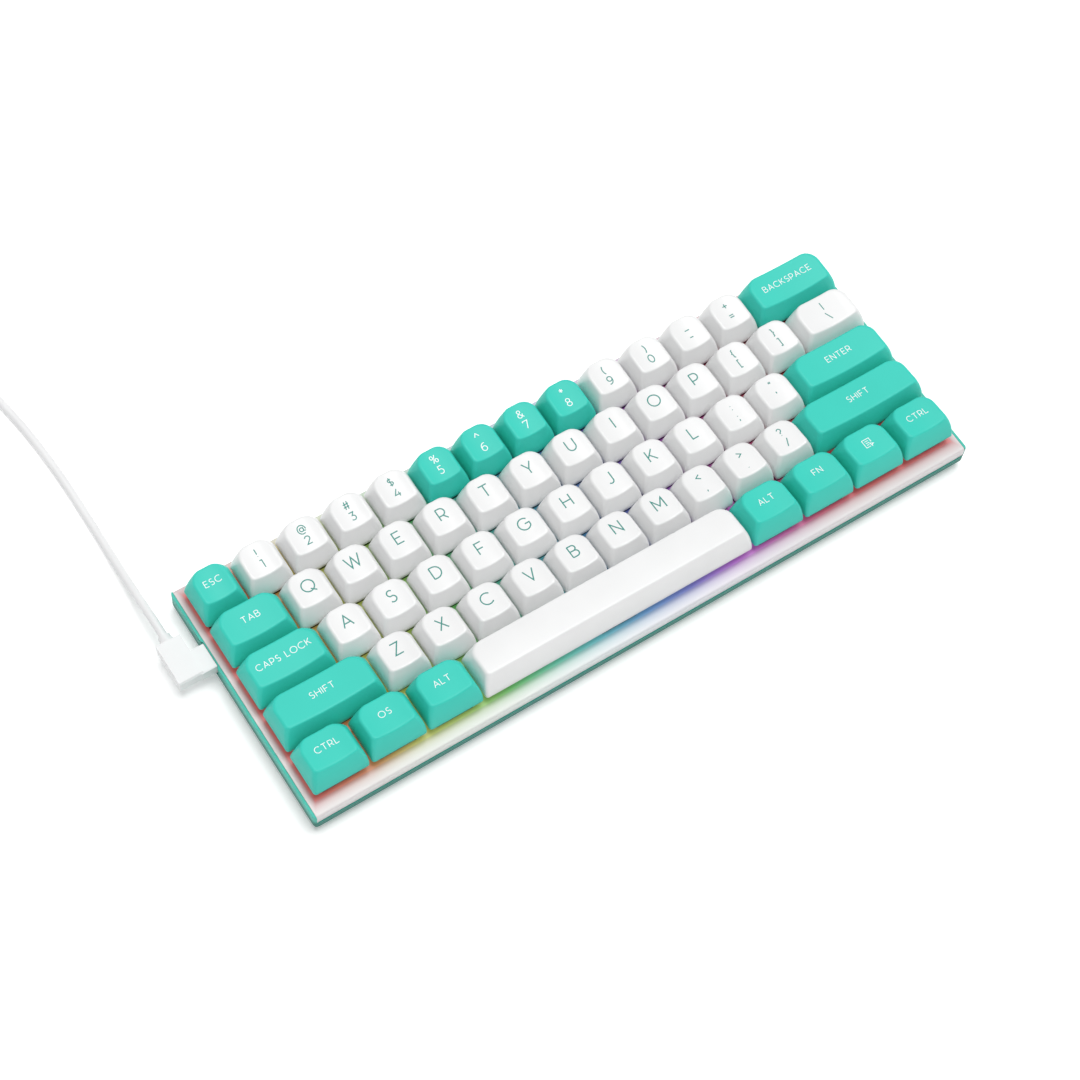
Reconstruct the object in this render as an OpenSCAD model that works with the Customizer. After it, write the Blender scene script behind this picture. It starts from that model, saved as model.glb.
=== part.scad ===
/* [Layout] */
// Distance between key centres
unit = 19.05; // [18.8:0.01:19.3]
// Outer width that a key loses from its share of the grid
key_gap = 0.95; // [0.8:0.05:1.2]
// Travel of every key
key_travel = 4; // [3:0.1:4]

/* [Case] */
// Case edge to key field, left and right
side_margin = 3.3; // [3:0.1:6]
// Case edge to key field, front
front_margin = 5.8; // [4:0.1:8]
// Case edge to key field, back
back_margin = 3.5; // [3:0.1:8]
// Top of the white cover plate above the desk
plate_top = 12.4; // [12.4:0.1:14]
// Thickness of the cover plate
plate_thickness = 1.5; // [1.4:0.1:1.6]
// Corner radius of the case seen from above
case_corner = 2; // [1.5:0.1:4]
// How far the underside is tucked in
tuck_in = 3; // [1:0.5:5]

/* [Keycaps] */
// Bottom edge of a resting keycap above the cover plate
cap_lift = 4.4; // [4.3:0.1:5]
// Height of a keycap at its middle, for each row from the back
row_heights = [10.4, 9.8, 9.3, 10.1, 10.1];
// Tilt of a keycap's top in degrees, back edge up, for each row from the back
row_tilts = [2, 0, -1, -5, -5];
// How far the top is set in on the left and right
side_inset = 2.2; // [2:0.1:3]
// How far the top is set in at the front
front_inset = 4; // [3:0.1:4.2]
// How far the top is set in at the back
back_inset = 0.8; // [0.5:0.1:1.5]
// Depth of the hollow in a keycap's top
dish_depth = 0.9; // [0.5:0.1:1.2]
// Wall thickness at a keycap's bottom edge
cap_wall = 1.1; // [1:0.05:1.2]

/* [Lead] */
// Diameter of the lead
lead_d = 3.4; // [3:0.1:3.8]
// Length of the lead that is wound up
coiled_length = 1340; // [1000:10:1700]

/* [Hidden] */
$fn = 48;
teal = [0.16, 0.72, 0.64];
case_teal = [0.13, 0.55, 0.48];
white = [0.93, 0.93, 0.93];
dark = [0.16, 0.17, 0.18];
metal = [0.75, 0.75, 0.76];
brass = [0.80, 0.66, 0.36];

columns = 15;
rows = 5;
case_w = columns * unit + 2 * side_margin;
case_d = rows * unit + front_margin + back_margin;
field_left = -columns * unit / 2;
field_front = -case_d / 2 + front_margin;

// Heights above the desk
foot_h = 1.5;
floor_top = foot_h + 2;
edge_bottom = 4.6;
lip_top = 7.8;
board_top = plate_top - 5;
board_thickness = 1.6;
board_bottom = board_top - board_thickness;
plate_bottom = plate_top - plate_thickness;
housing_floor = board_top + 1.2;
flange_top = plate_top + 1;
housing_top = plate_top + 6.6;
stem_shoulder = plate_top + 7;
stem_bottom = housing_floor + 0.4 + key_travel;
spring_seat = stem_bottom + 3;
cap_bottom = plate_top + cap_lift;

rim = 1;
wall = 2;
// The cover stands back from the lip of the case at the front and back
lip = 0.4;
cover_d = case_d - 2 * lip;
cover_round = 1;
flange = 1.6;
gap = 0.05;

// Key tables: name, row from the back, left edge and width in key units, colour
letter_rows = [["qwertyuiop", 1, 1.5], ["asdfghjkl", 2, 1.75], ["zxcvbnm", 3, 2.25]];
letter_keys = [
    for (r = letter_rows) for (i = [0:len(r[0]) - 1])
        [str("key_", r[0][i]), r[1], r[2] + i, 1, white]
];
named_keys = [
    ["key_esc", 0, 0, 1, teal],
    ["key_backspace", 0, 13, 2, teal],
    ["key_tab", 1, 0, 1.5, teal],
    ["key_caps_lock", 2, 0, 1.75, teal],
    ["key_enter", 2, 12.75, 2.25, teal],
    ["key_left_shift", 3, 0, 2.25, teal],
    ["key_right_shift", 3, 12.25, 2.75, teal],
    ["key_left_ctrl", 4, 0, 1.25, teal],
    ["key_system", 4, 1.25, 1.25, teal],
    ["key_left_alt", 4, 2.5, 1.25, teal],
    ["key_space", 4, 3.75, 6.25, white],
    ["key_right_alt", 4, 10, 1.25, teal],
    ["key_fn", 4, 11.25, 1.25, teal],
    ["key_menu", 4, 12.5, 1.25, teal],
    ["key_right_ctrl", 4, 13.75, 1.25, teal]
];
single_keys = concat(letter_keys, named_keys);
grouped_keys = concat(
    [for (i = [1:12]) ["", 0, i, 1, i >= 5 && i <= 8 ? teal : white]],
    [for (i = [0:1]) ["", 1, 11.5 + i, 1, white]],
    [["", 1, 13.5, 1.5, white]],
    [for (i = [0:1]) ["", 2, 10.75 + i, 1, white]],
    [for (i = [0:2]) ["", 3, 9.25 + i, 1, white]]
);
all_keys = concat(single_keys, grouped_keys);
wide_keys = [for (k = all_keys) if (k[3] >= 2) k];

function key_x(k) = field_left + (k[2] + k[3] / 2) * unit;
function key_y(k) = field_front + (rows - k[1] - 0.5) * unit;
function stabilizer_reach(k) = k[3] > 3 ? 50 : 11.94;

// Screws stand in the strips between the rows of switches
screw_spots = [for (x = [-100, 0, 100]) for (row = [1, 4]) [x, field_front + row * unit]];

// Socket and plug
port_y = 22.8;
port_z = board_top + 1.65;
plug_x = -156;

// Route of the lead from the plug's collar to the coil
lead_route = [
    [-156, 38.9, 9], [-156, 44, 9], [-156, 50, 8.7], [-156, 57, 7.7],
    [-155.9, 64, 6.3], [-155.7, 72, 4.8], [-155.5, 80, 3.5], [-155.3, 88, 2.5],
    [-155.2, 96, 1.9], [-155.2, 104, 1.7], [-155.3, 116, 1.7], [-155.8, 128, 1.7],
    [-156.7, 140, 1.7], [-158, 151, 1.7], [-159.8, 162, 1.7], [-162, 173, 1.7],
    [-164.4, 184, 1.7], [-166.4, 193, 1.7]
];
// Route of the lead from the top of the coil down to the end plug
tail_route = [
    [-212.1, 197, 11.9], [-212.1, 192, 11.5], [-212.1, 187, 10.2], [-212.1, 182, 8],
    [-212.1, 177, 5.8], [-212.1, 172, 4.5], [-212.1, 168, 4.2]
];
coil_centre = [-190, 200];
coil_d = 11 * lead_d;
coil_turns = coiled_length / (PI * coil_d);
strands_wide = 3;
coil_h = lead_d * ceil(coil_turns / strands_wide);
outer_strand = coil_d / 2 + lead_d;

static_nodes = [
    "bottom_case", "top_cover", "circuit_board", "controller_chip", "switch_leds",
    "switch_lower_housings", "switch_upper_housings", "switch_contacts",
    "switch_springs", "stabilizer_housings", "stabilizer_wires", "usb_socket",
    "case_screws", "rubber_feet"
];
lead_nodes = ["lead_plug", "lead_cable", "lead_coil", "lead_end_plug"];

module rounded_rect(w, d, r) {
    square([w - 2 * r, d], center = true);
    square([w, d - 2 * r], center = true);
    for (x = [-1, 1]) for (y = [-1, 1])
        translate([x * (w / 2 - r), y * (d / 2 - r)]) circle(r);
}

module stadium(w, h) {
    square([w - h, h], center = true);
    for (x = [-1, 1]) translate([x * (w - h) / 2, 0]) circle(h / 2);
}

// A box centred in X and Y that stands on z0 and ends at z1
module post(w, d, z0, z1) {
    translate([-w / 2, -d / 2, z0]) cube([w, d, z1 - z0]);
}

module rod(d, z0, z1) {
    translate([0, 0, z0]) cylinder(d = d, h = z1 - z0);
}

module at_keys(keys) {
    for (k = keys) translate([key_x(k), key_y(k), 0]) children();
}

module at_stabilizers() {
    for (k = wide_keys) for (side = [-1, 1])
        translate([key_x(k) + side * stabilizer_reach(k), key_y(k), 0])
            mirror([side < 0 ? 1 : 0, 0, 0]) children();
}

module case_outline(z0, z1) {
    translate([0, 0, z0]) linear_extrude(z1 - z0) rounded_rect(case_w, case_d, case_corner);
}

// A tray profile whose lower edges are tucked in
module tray_profile(w) {
    polygon([
        [-w / 2 + tuck_in, foot_h], [w / 2 - tuck_in, foot_h], [w / 2, edge_bottom],
        [w / 2, plate_top], [-w / 2, plate_top], [-w / 2, edge_bottom]
    ]);
}

// A shallow notch with slanted ends, open at the top, that clears the plug's nose
module port_notch() {
    polygon([[-1, -7.2], [0.6, -5.6], [0.6, 5.6], [-1, 7.2]]);
}

module bottom_case() color(case_teal) difference() {
    union() {
        difference() {
            intersection() {
                case_outline(foot_h, plate_top);
                rotate([90, 0, 0]) linear_extrude(case_d, center = true)
                    tray_profile(case_w);
                rotate([90, 0, 90]) linear_extrude(case_w, center = true)
                    tray_profile(case_d);
            }
            post(case_w - 2 * wall, case_d - 2 * wall, floor_top, plate_top);
            post(case_w - 2 * rim, case_d + 1, lip_top, plate_top + 1);
        }
        for (s = screw_spots) translate(s) rod(6.4, floor_top - 0.5, board_bottom - gap);
    }
    for (s = screw_spots) translate(s) {
        rod(4.2, foot_h - 1, foot_h + 1.8);
        rod(2.4, foot_h, board_bottom);
    }
    translate([-case_w / 2, port_y, 0]) {
        translate([0, 0, port_z]) cube([8, 9.6, 3.8], center = true);
        translate([0, 0, port_z - 2.8]) linear_extrude(plate_top) port_notch();
    }
}

module cover_profile() {
    difference() {
        union() {
            translate([-cover_d / 2, lip_top + gap])
                square([cover_d, plate_top - cover_round - lip_top - gap]);
            translate([-cover_d / 2 + cover_round, lip_top + gap])
                square([cover_d - 2 * cover_round, plate_top - lip_top - gap]);
            for (side = [-1, 1])
                translate([side * (cover_d / 2 - cover_round), plate_top - cover_round])
                    circle(cover_round);
        }
        translate([-cover_d / 2 + flange, lip_top])
            square([cover_d - 2 * flange, plate_bottom - lip_top]);
    }
}

module top_cover() color(white) difference() {
    union() {
        intersection() {
            case_outline(lip_top, plate_top);
            rotate([90, 0, 90])
                linear_extrude(case_w - 2 * rim - 0.2, center = true) cover_profile();
        }
        for (s = screw_spots) translate(s) rod(4.6, board_bottom, plate_bottom + 0.5);
    }
    at_keys(all_keys) post(14, 14, plate_bottom - 1, plate_top + 1);
    at_stabilizers() post(6.7, 12.4, plate_bottom - 1, plate_top + 1);
    for (s = screw_spots) translate(s) rod(2, board_bottom - 1, plate_bottom - 0.8);
}

module circuit_board() color(dark) difference() {
    post(case_w - 2 * wall - 0.6, case_d - 2 * wall - 0.8, board_bottom, board_top);
    at_keys(all_keys) {
        rod(4.1, board_bottom - 1, board_top + 1);
        for (p = [[-3.81, 2.54], [2.54, 5.08]])
            translate(p) rod(1.7, board_bottom - 1, board_top + 1);
    }
    for (s = screw_spots) translate(s) rod(5, board_bottom - 1, board_top + 1);
}

module controller_chip() color(dark)
    translate([0, field_front + 2 * unit, 0])
        post(7, 7, board_bottom - 1, board_bottom - gap);

module switch_leds() color(white)
    at_keys(all_keys) translate([0, -5, 0]) post(3.2, 2.8, board_top + gap, board_top + 1.1);

module switch_lower_housings() color(dark)
    at_keys(all_keys) difference() {
        union() {
            post(13.9, 13.9, board_top + gap, plate_top + 0.5);
            post(15.2, 15.2, plate_top + gap, flange_top);
            rod(3.9, board_bottom - 1.7, board_top + 1);
        }
        translate([0, 1.15, 0]) post(10.4, 8.1, housing_floor, flange_top + 1);
        rod(3, board_bottom - 0.8, housing_floor + 1);
        translate([0, -5, 0]) post(4.8, 3.4, board_top, flange_top + 1);
        for (p = [[-3.81, 2.54], [2.54, 5.08]])
            translate(p) post(1.6, 0.8, board_top, housing_floor + 1);
    }

// The upper housing narrows from the flange to the stem's opening
module housing_taper(bottom, top) {
    rotate([90, 0, 0]) linear_extrude(bottom, center = true) polygon([
        [-bottom / 2, flange_top + gap], [bottom / 2, flange_top + gap],
        [top / 2, housing_top], [-top / 2, housing_top]
    ]);
}

module switch_upper_housings() color([0.85, 0.87, 0.88])
    at_keys(all_keys) difference() {
        intersection() {
            housing_taper(15, 10);
            rotate([0, 0, 90]) housing_taper(15, 9);
        }
        post(9.2, 8.8, flange_top, housing_top - 1.4);
        post(7.4, 6, housing_top - 2, housing_top + 1);
    }

module switch_contacts() color(brass)
    at_keys(all_keys) {
        translate([0, 4.65, 0]) post(3, 0.3, housing_floor + gap, flange_top - 0.1);
        for (p = [[-3.81, 2.54], [2.54, 5.08]])
            translate(p) post(1, 0.3, board_bottom - 1.6, housing_floor - gap);
    }

module switch_springs() color(metal)
    at_keys(all_keys) difference() {
        rod(4.2, housing_floor + 0.1, spring_seat - 0.1);
        rod(3.2, housing_floor, spring_seat);
    }

module stabilizer_housings() color(dark)
    at_stabilizers() difference() {
        union() {
            post(6.4, 12, board_top + 0.2, plate_top + 0.5);
            post(7.2, 13.4, plate_top + gap, plate_top + 2.6);
            translate([-2.2, -7.6, 0]) post(2, 3.2, board_top + 0.4, board_top + 3.2);
        }
        post(5.6, 6.6, board_top + 0.6, plate_top + 3);
        translate([0, -4.6, 0]) post(2, 3, board_top + 1, board_top + 2.8);
        translate([-2.2, -8, board_top + 1.8]) rotate([0, 90, 0])
            cylinder(d = 1.6, h = 4, center = true);
    }

module stabilizer_wires() color(metal)
    for (k = wide_keys) translate([key_x(k), key_y(k), board_top + 1.8]) {
        translate([0, -8, 0]) rotate([0, 90, 0])
            cylinder(d = 1.4, h = 2 * stabilizer_reach(k) + 1.4, center = true);
        for (side = [-1, 1]) translate([side * stabilizer_reach(k), -3.4, 0])
            rotate([90, 0, 0]) cylinder(d = 1.4, h = 4.6);
    }

module usb_socket() color(metal)
    translate([-case_w / 2 + 1.6, port_y, port_z]) rotate([90, 0, 90])
        difference() {
            linear_extrude(7.4) stadium(9, 3.2);
            translate([0, 0, -1]) linear_extrude(7.4) stadium(8.6, 2.8);
        }

module case_screws() color(dark)
    for (s = screw_spots) translate(s) {
        rod(3.8, foot_h + 0.3, foot_h + 1.7);
        rod(1.96, foot_h + 1.6, plate_bottom - 1);
    }

module rubber_feet() color(dark)
    for (x = [-1, 1]) for (y = [-1, 1])
        translate([x * (case_w / 2 - 22), y * (case_d / 2 - 12), 0])
            linear_extrude(foot_h) stadium(22, 8);

// Keycap geometry, all heights measured from the keycap's bottom edge
cap_d = unit - key_gap;
cap_top = 2;
bulge_steps = [0, 0.35, 0.7, 1];
function cap_w(k) = k[3] * unit - key_gap;
function bulge(s) = pow(s, 1.4);
function cap_height(row, y) = row_heights[row] + y * tan(row_tilts[row]);

module cap_side_view(row, shrink, drop) {
    front = -cap_d / 2 + shrink;
    back = cap_d / 2 - shrink;
    front_h = cap_height(row, front + front_inset) - drop;
    back_h = cap_height(row, back - back_inset) - drop;
    polygon(concat(
        [for (s = bulge_steps) [front + front_inset * bulge(s), s * front_h]],
        [for (i = [3:-1:0]) [back - back_inset * bulge(bulge_steps[i]), bulge_steps[i] * back_h]]
    ));
}

module cap_front_view(w, row, shrink) {
    half = w / 2 - shrink;
    h = row_heights[row];
    polygon(concat(
        [for (s = bulge_steps) [-half + side_inset * bulge(s), s * h]],
        [[-half + side_inset, h + 3], [half - side_inset, h + 3]],
        [for (i = [3:-1:0]) [half - side_inset * bulge(bulge_steps[i]), bulge_steps[i] * h]]
    ));
}

module cap_form(k, shrink, drop) {
    w = cap_w(k);
    intersection() {
        rotate([90, 0, 90]) linear_extrude(w, center = true) cap_side_view(k[1], shrink, drop);
        rotate([90, 0, 0]) linear_extrude(cap_d, center = true)
            cap_front_view(w, k[1], shrink);
        linear_extrude(20, center = true)
            rounded_rect(w - 2 * shrink + 0.2, cap_d - 2 * shrink + 0.2, 1.6 - shrink / 2);
    }
}

// A cylinder scooped lengthwise out of the top, as wide as the top
module cap_dish(k) {
    chord = cap_w(k) - 2 * side_inset;
    r = (chord * chord / 4 + dish_depth * dish_depth) / (2 * dish_depth);
    rotate([row_tilts[k[1]], 0, 0])
        translate([0, 0, row_heights[k[1]] - dish_depth + r]) rotate([90, 0, 0])
            cylinder(r = r, h = 2 * unit, center = true, $fn = 360);
}

module cross(span, arm, z0, z1) {
    post(span, arm, z0, z1);
    post(arm, span, z0, z1);
}

function socket_spots(k) = k[3] < 2 ? [0] : [-stabilizer_reach(k), 0, stabilizer_reach(k)];

module keycap(k) {
    socket_bottom = stem_shoulder + gap - cap_bottom;
    difference() {
        union() {
            difference() {
                cap_form(k, 0, 0);
                cap_form(k, cap_wall, cap_top);
                post(cap_w(k) - 2 * cap_wall - 2, cap_d - 2 * cap_wall - 2, -1, 0.1);
            }
            for (x = socket_spots(k)) translate([x, 0, 0])
                rod(5.2, socket_bottom, row_heights[k[1]] - cap_top + 0.3);
        }
        for (x = socket_spots(k)) translate([x, 0, 0])
            cross(4.2, 1.35, socket_bottom - 1, socket_bottom + 3.8);
        if (k[3] < 6) cap_dish(k);
    }
}

module stem(w, d, bottom) {
    post(w, d, bottom, stem_shoulder);
    cross(4, 1.15, stem_shoulder - 0.1, stem_shoulder + 3.6);
}

// A keycap with the switch stem, and with the stabilizer stems of a wide key
module key(k) {
    translate([key_x(k), key_y(k), 0]) {
        color(k[4]) translate([0, 0, cap_bottom]) keycap(k);
        color("mediumblue") {
            difference() {
                stem(6.8, 5.2, stem_bottom);
                post(5, 6, stem_bottom - 1, spring_seat);
            }
            rod(2.2, board_bottom - 0.2 + key_travel, stem_shoulder - 1);
        }
        if (k[3] >= 2) for (side = [-1, 1])
            color(dark) translate([side * stabilizer_reach(k), 0, 0])
                stem(5, 6, board_top + 0.8 + key_travel);
    }
}

module number_and_symbol_keys() for (k = grouped_keys) key(k);

module lead_plug() color(white) {
    difference() {
        union() {
            translate([plug_x - 4.9, 17.8, port_z - 3]) cube([9.8, 17.9, 6]);
            translate([plug_x + 4, port_y - 5.25, port_z - 2.6])
                cube([-case_w / 2 - plug_x - 3.5, 10.5, 5.2]);
            translate([plug_x, 35, port_z]) rotate([-90, 0, 0]) rod(4.8, 0, 3.9);
            translate([plug_x, 35, port_z]) rotate([-90, 0, 0]) rod(5.4, 0, 2);
        }
        for (side = [-1, 1]) translate([plug_x - 4.9, 17.8, port_z + side * 3])
            rotate([45, 0, 0]) cube([30, 0.8, 0.8], center = true);
    }
    translate([-case_w / 2 + 0.3, port_y, port_z]) rotate([90, 0, 90])
        linear_extrude(6.4) stadium(8.3, 2.4);
}

// A tube of eight sides swept along a list of points
module swept_tube(path, d) {
    sides = 8;
    last = len(path) - 1;
    function direction(i) =
        let (v = path[min(i + 1, last)] - path[max(i - 1, 0)]) v / norm(v);
    function across(t) = let (v = cross_product(t, [0, 0, 1])) v / norm(v);
    rings = [
        for (i = [0:last]) for (j = [0:sides - 1])
            let (t = direction(i), a = across(t), b = cross_product(a, t))
            let (angle = (j + 0.5) * 360 / sides)
            path[i] + d / 2 * (a * cos(angle) + b * sin(angle))
    ];
    faces = concat(
        [[for (j = [0:sides - 1]) j]],
        [for (i = [0:last - 1]) for (j = [0:sides - 1])
            [i * sides + j, (i + 1) * sides + j,
             (i + 1) * sides + (j + 1) % sides, i * sides + (j + 1) % sides]],
        [[for (j = [sides - 1:-1:0]) last * sides + j]]
    );
    polyhedron(points = rings, faces = faces, convexity = 4);
}

function cross_product(a, b) = [
    a[1] * b[2] - a[2] * b[1], a[2] * b[0] - a[0] * b[2], a[0] * b[1] - a[1] * b[0]
];

module lead_cable() color(white) {
    swept_tube(lead_route, lead_d);
    swept_tube(tail_route, lead_d);
}

module lead_coil() color(white)
    translate([coil_centre[0], coil_centre[1], 0]) rotate_extrude()
        translate([coil_d / 2 - strands_wide * lead_d / 2, 0])
            square([strands_wide * lead_d, coil_h]);

// The plug for the computer lies beside the coil, in line with its outer strand
module lead_end_plug() {
    tail_end = tail_route[len(tail_route) - 1];
    translate([coil_centre[0] - outer_strand, tail_end[1], 0]) {
        color(white) translate([0, 0, 4.2]) rotate([90, 0, 0]) rod(5, 0, 18);
        color(white) translate([-8, -42, 0.2]) cube([16, 26, 8]);
        color(metal) translate([-6, -54, 1.95]) cube([12, 13, 4.5]);
    }
}

bottom_case();
top_cover();
circuit_board();
controller_chip();
switch_leds();
switch_lower_housings();
switch_upper_housings();
switch_contacts();
switch_springs();
stabilizer_housings();
stabilizer_wires();
usb_socket();
case_screws();
rubber_feet();
lead_plug();
lead_cable();
lead_coil();
lead_end_plug();
number_and_symbol_keys();
for (k = single_keys) key(k);
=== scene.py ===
"""Looks of a compact mechanical keyboard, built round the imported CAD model.

Lengths are in millimetres until point() or a mesh builder turns them into metres.
"""

import math

import bmesh
import bpy
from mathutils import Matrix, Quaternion, Vector


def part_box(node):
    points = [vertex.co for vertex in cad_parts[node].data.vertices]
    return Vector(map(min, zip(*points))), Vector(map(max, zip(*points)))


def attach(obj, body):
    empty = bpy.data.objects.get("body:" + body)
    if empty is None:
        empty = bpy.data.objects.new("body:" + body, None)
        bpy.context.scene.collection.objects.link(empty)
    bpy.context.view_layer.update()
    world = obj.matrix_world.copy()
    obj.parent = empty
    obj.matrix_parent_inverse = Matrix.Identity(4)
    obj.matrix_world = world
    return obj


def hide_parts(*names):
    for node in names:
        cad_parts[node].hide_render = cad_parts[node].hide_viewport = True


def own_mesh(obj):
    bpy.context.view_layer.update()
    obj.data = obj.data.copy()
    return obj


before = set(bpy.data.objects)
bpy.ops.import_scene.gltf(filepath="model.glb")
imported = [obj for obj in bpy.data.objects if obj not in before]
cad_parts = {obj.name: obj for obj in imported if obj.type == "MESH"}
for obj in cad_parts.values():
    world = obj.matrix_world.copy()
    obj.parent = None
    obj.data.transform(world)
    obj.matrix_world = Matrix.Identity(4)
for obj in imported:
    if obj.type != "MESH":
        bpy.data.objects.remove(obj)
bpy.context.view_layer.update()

MM = 0.001
MAIN_BODY = "case"
GROUP_BODY = "number_and_symbol_keys"


def point(x, y, z):
    return Vector((x, y, z)) * MM


def node_box(node):
    low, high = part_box(node)
    return low / MM, high / MM


# ---------------------------------------------------------------- camera

CAMERA_TARGET = (-18.7, -1.0, 15)
CAMERA_DISTANCE = 900.4
CAMERA_AZIMUTH = -40.1
CAMERA_ELEVATION = 62.06
CAMERA_ROLL = 7.98
LENS, SENSOR_WIDTH = 80.42, 36


def add_camera():
    azimuth, elevation = math.radians(CAMERA_AZIMUTH), math.radians(CAMERA_ELEVATION)
    back = Vector(
        (
            math.sin(azimuth) * math.cos(elevation),
            -math.cos(azimuth) * math.cos(elevation),
            math.sin(elevation),
        )
    )
    data = bpy.data.cameras.new("photo_camera")
    data.sensor_width = SENSOR_WIDTH
    data.lens = LENS
    data.clip_start, data.clip_end = 0.05, 20
    camera = bpy.data.objects.new("photo_camera", data)
    bpy.context.scene.collection.objects.link(camera)
    camera.location = point(*CAMERA_TARGET) + back * CAMERA_DISTANCE * MM
    camera.rotation_mode = "QUATERNION"
    roll = Quaternion((0, 0, 1), math.radians(CAMERA_ROLL))
    camera.rotation_quaternion = (-back).to_track_quat("-Z", "Y") @ roll
    bpy.context.scene.camera = camera


add_camera()
bpy.context.scene.view_settings.view_transform = "Standard"

# ---------------------------------------------------------------- materials


# Cycles per metre of the fine grain and of the slow changes of tone
PLASTIC_GRAIN, PLASTIC_TONE = 5000, 60
METAL_GRAIN, METAL_TONE = 9000, 300
COVER_GRAIN, BOARD_GRAIN, TRACK_SCALE = 4000, 2500, 220.0


def new_material(name, colour, roughness, specular=0.5, coat=0.0):
    material = bpy.data.materials.new(name)
    material.use_nodes = True
    shader = material.node_tree.nodes["Principled BSDF"]
    shader.inputs["Base Color"].default_value = (*colour, 1)
    shader.inputs["Roughness"].default_value = roughness
    shader.inputs["Specular IOR Level"].default_value = specular
    shader.inputs["Coat Weight"].default_value = coat
    return material, shader


def add_node(material, kind, **inputs):
    node = material.node_tree.nodes.new(kind)
    for socket, value in inputs.items():
        node.inputs[socket.replace("_", " ")].default_value = value
    return node


def link(material, source, target):
    material.node_tree.links.new(source, target)


def arithmetic(material, operation, first, second=0.0, clamp=False):
    """A math node; each input is a number or another node's output."""
    node = material.node_tree.nodes.new("ShaderNodeMath")
    node.operation = operation
    node.use_clamp = clamp
    for socket, value in zip(node.inputs, (first, second)):
        if isinstance(value, (int, float)):
            socket.default_value = value
        else:
            link(material, value, socket)
    return node.outputs[0]


def position(material):
    """The shaded point's place in the row frame, in metres."""
    return add_node(material, "ShaderNodeTexCoord").outputs["Object"]


def add_grain(material, shader, scale, strength, distance=0.02):
    """Fine moulded texture as a bump, distance millimetres deep."""
    noise = add_node(material, "ShaderNodeTexNoise", Scale=scale, Detail=3.0, Roughness=0.6)
    link(material, position(material), noise.inputs["Vector"])
    bump = add_node(material, "ShaderNodeBump", Strength=strength, Distance=distance * MM)
    link(material, noise.outputs["Fac"], bump.inputs["Height"])
    link(material, bump.outputs["Normal"], shader.inputs["Normal"])


def add_tone(material, shader, colour, spread, scale):
    """Slow, slight changes of tone over a surface."""
    noise = add_node(material, "ShaderNodeTexNoise", Scale=scale, Detail=2.0)
    link(material, position(material), noise.inputs["Vector"])
    ramp = material.node_tree.nodes.new("ShaderNodeValToRGB")
    ramp.color_ramp.elements[0].position = 0.3
    ramp.color_ramp.elements[1].position = 0.7
    ramp.color_ramp.elements[0].color = (*[c * (1 - spread) for c in colour], 1)
    ramp.color_ramp.elements[1].color = (*[min(c * (1 + spread), 1) for c in colour], 1)
    link(material, noise.outputs["Fac"], ramp.inputs["Fac"])
    link(material, ramp.outputs["Color"], shader.inputs["Base Color"])
    return ramp


def plastic(name, colour, roughness, grain=0.12, coat=0.0, spread=0.015, specular=0.5):
    material, shader = new_material(name, colour, roughness, specular, coat)
    add_tone(material, shader, colour, spread, PLASTIC_TONE)
    add_grain(material, shader, PLASTIC_GRAIN, grain)
    return material


def metal(name, colour, roughness):
    material, shader = new_material(name, colour, roughness)
    shader.inputs["Metallic"].default_value = 1
    add_tone(material, shader, colour, 0.04, METAL_TONE)
    add_grain(material, shader, METAL_GRAIN, 0.15, 0.01)
    return material


WHITE = (0.86, 0.865, 0.865)
TEAL = (0.045, 0.63, 0.52)
CASE_TEAL = (0.07, 0.52, 0.42)

white_plastic = plastic("keycap_white", WHITE, 0.38, coat=0.15)
teal_plastic = plastic("keycap_teal", TEAL, 0.45, specular=0.3)
white_ink = plastic("legend_white", (0.92, 0.94, 0.94), 0.45, grain=0.05)
teal_ink = plastic("legend_teal", (0.035, 0.27, 0.23), 0.45, grain=0.05)
lead_plastic = plastic("lead_white", (0.84, 0.84, 0.845), 0.42)
black_plastic = plastic("switch_black", (0.02, 0.02, 0.022), 0.45)
milky_plastic = plastic("switch_milky", (0.62, 0.66, 0.68), 0.25, coat=0.3)
blue_plastic = plastic("switch_blue", (0.02, 0.12, 0.62), 0.35)
chip_plastic = plastic("chip_black", (0.012, 0.012, 0.014), 0.5)
foot_rubber = plastic("foot_rubber", (0.03, 0.03, 0.03), 0.85, grain=0.4)
steel = metal("plated_steel", (0.62, 0.62, 0.64), 0.28)
brass = metal("contact_brass", (0.72, 0.50, 0.20), 0.3)
black_steel = metal("black_steel", (0.05, 0.05, 0.055), 0.4)

# Hues of the backlight from left to right: x in millimetres, then the light's colour
GLOW_HUES = [
    (-143, (0.66, 0.08, 0.07)),
    (-120, (0.68, 0.20, 0.06)),
    (-100, (0.60, 0.58, 0.10)),
    (-80, (0.42, 0.60, 0.10)),
    (-60, (0.14, 0.58, 0.12)),
    (-40, (0.10, 0.58, 0.40)),
    (-20, (0.10, 0.52, 0.60)),
    (0, (0.10, 0.32, 0.62)),
    (20, (0.16, 0.18, 0.60)),
    (40, (0.48, 0.12, 0.66)),
    (60, (0.58, 0.10, 0.42)),
    (80, (0.62, 0.07, 0.16)),
    (100, (0.64, 0.08, 0.08)),
    (143, (0.64, 0.08, 0.08)),
]
GLOW_LEFT, GLOW_RIGHT = GLOW_HUES[0][0], GLOW_HUES[-1][0]


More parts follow.
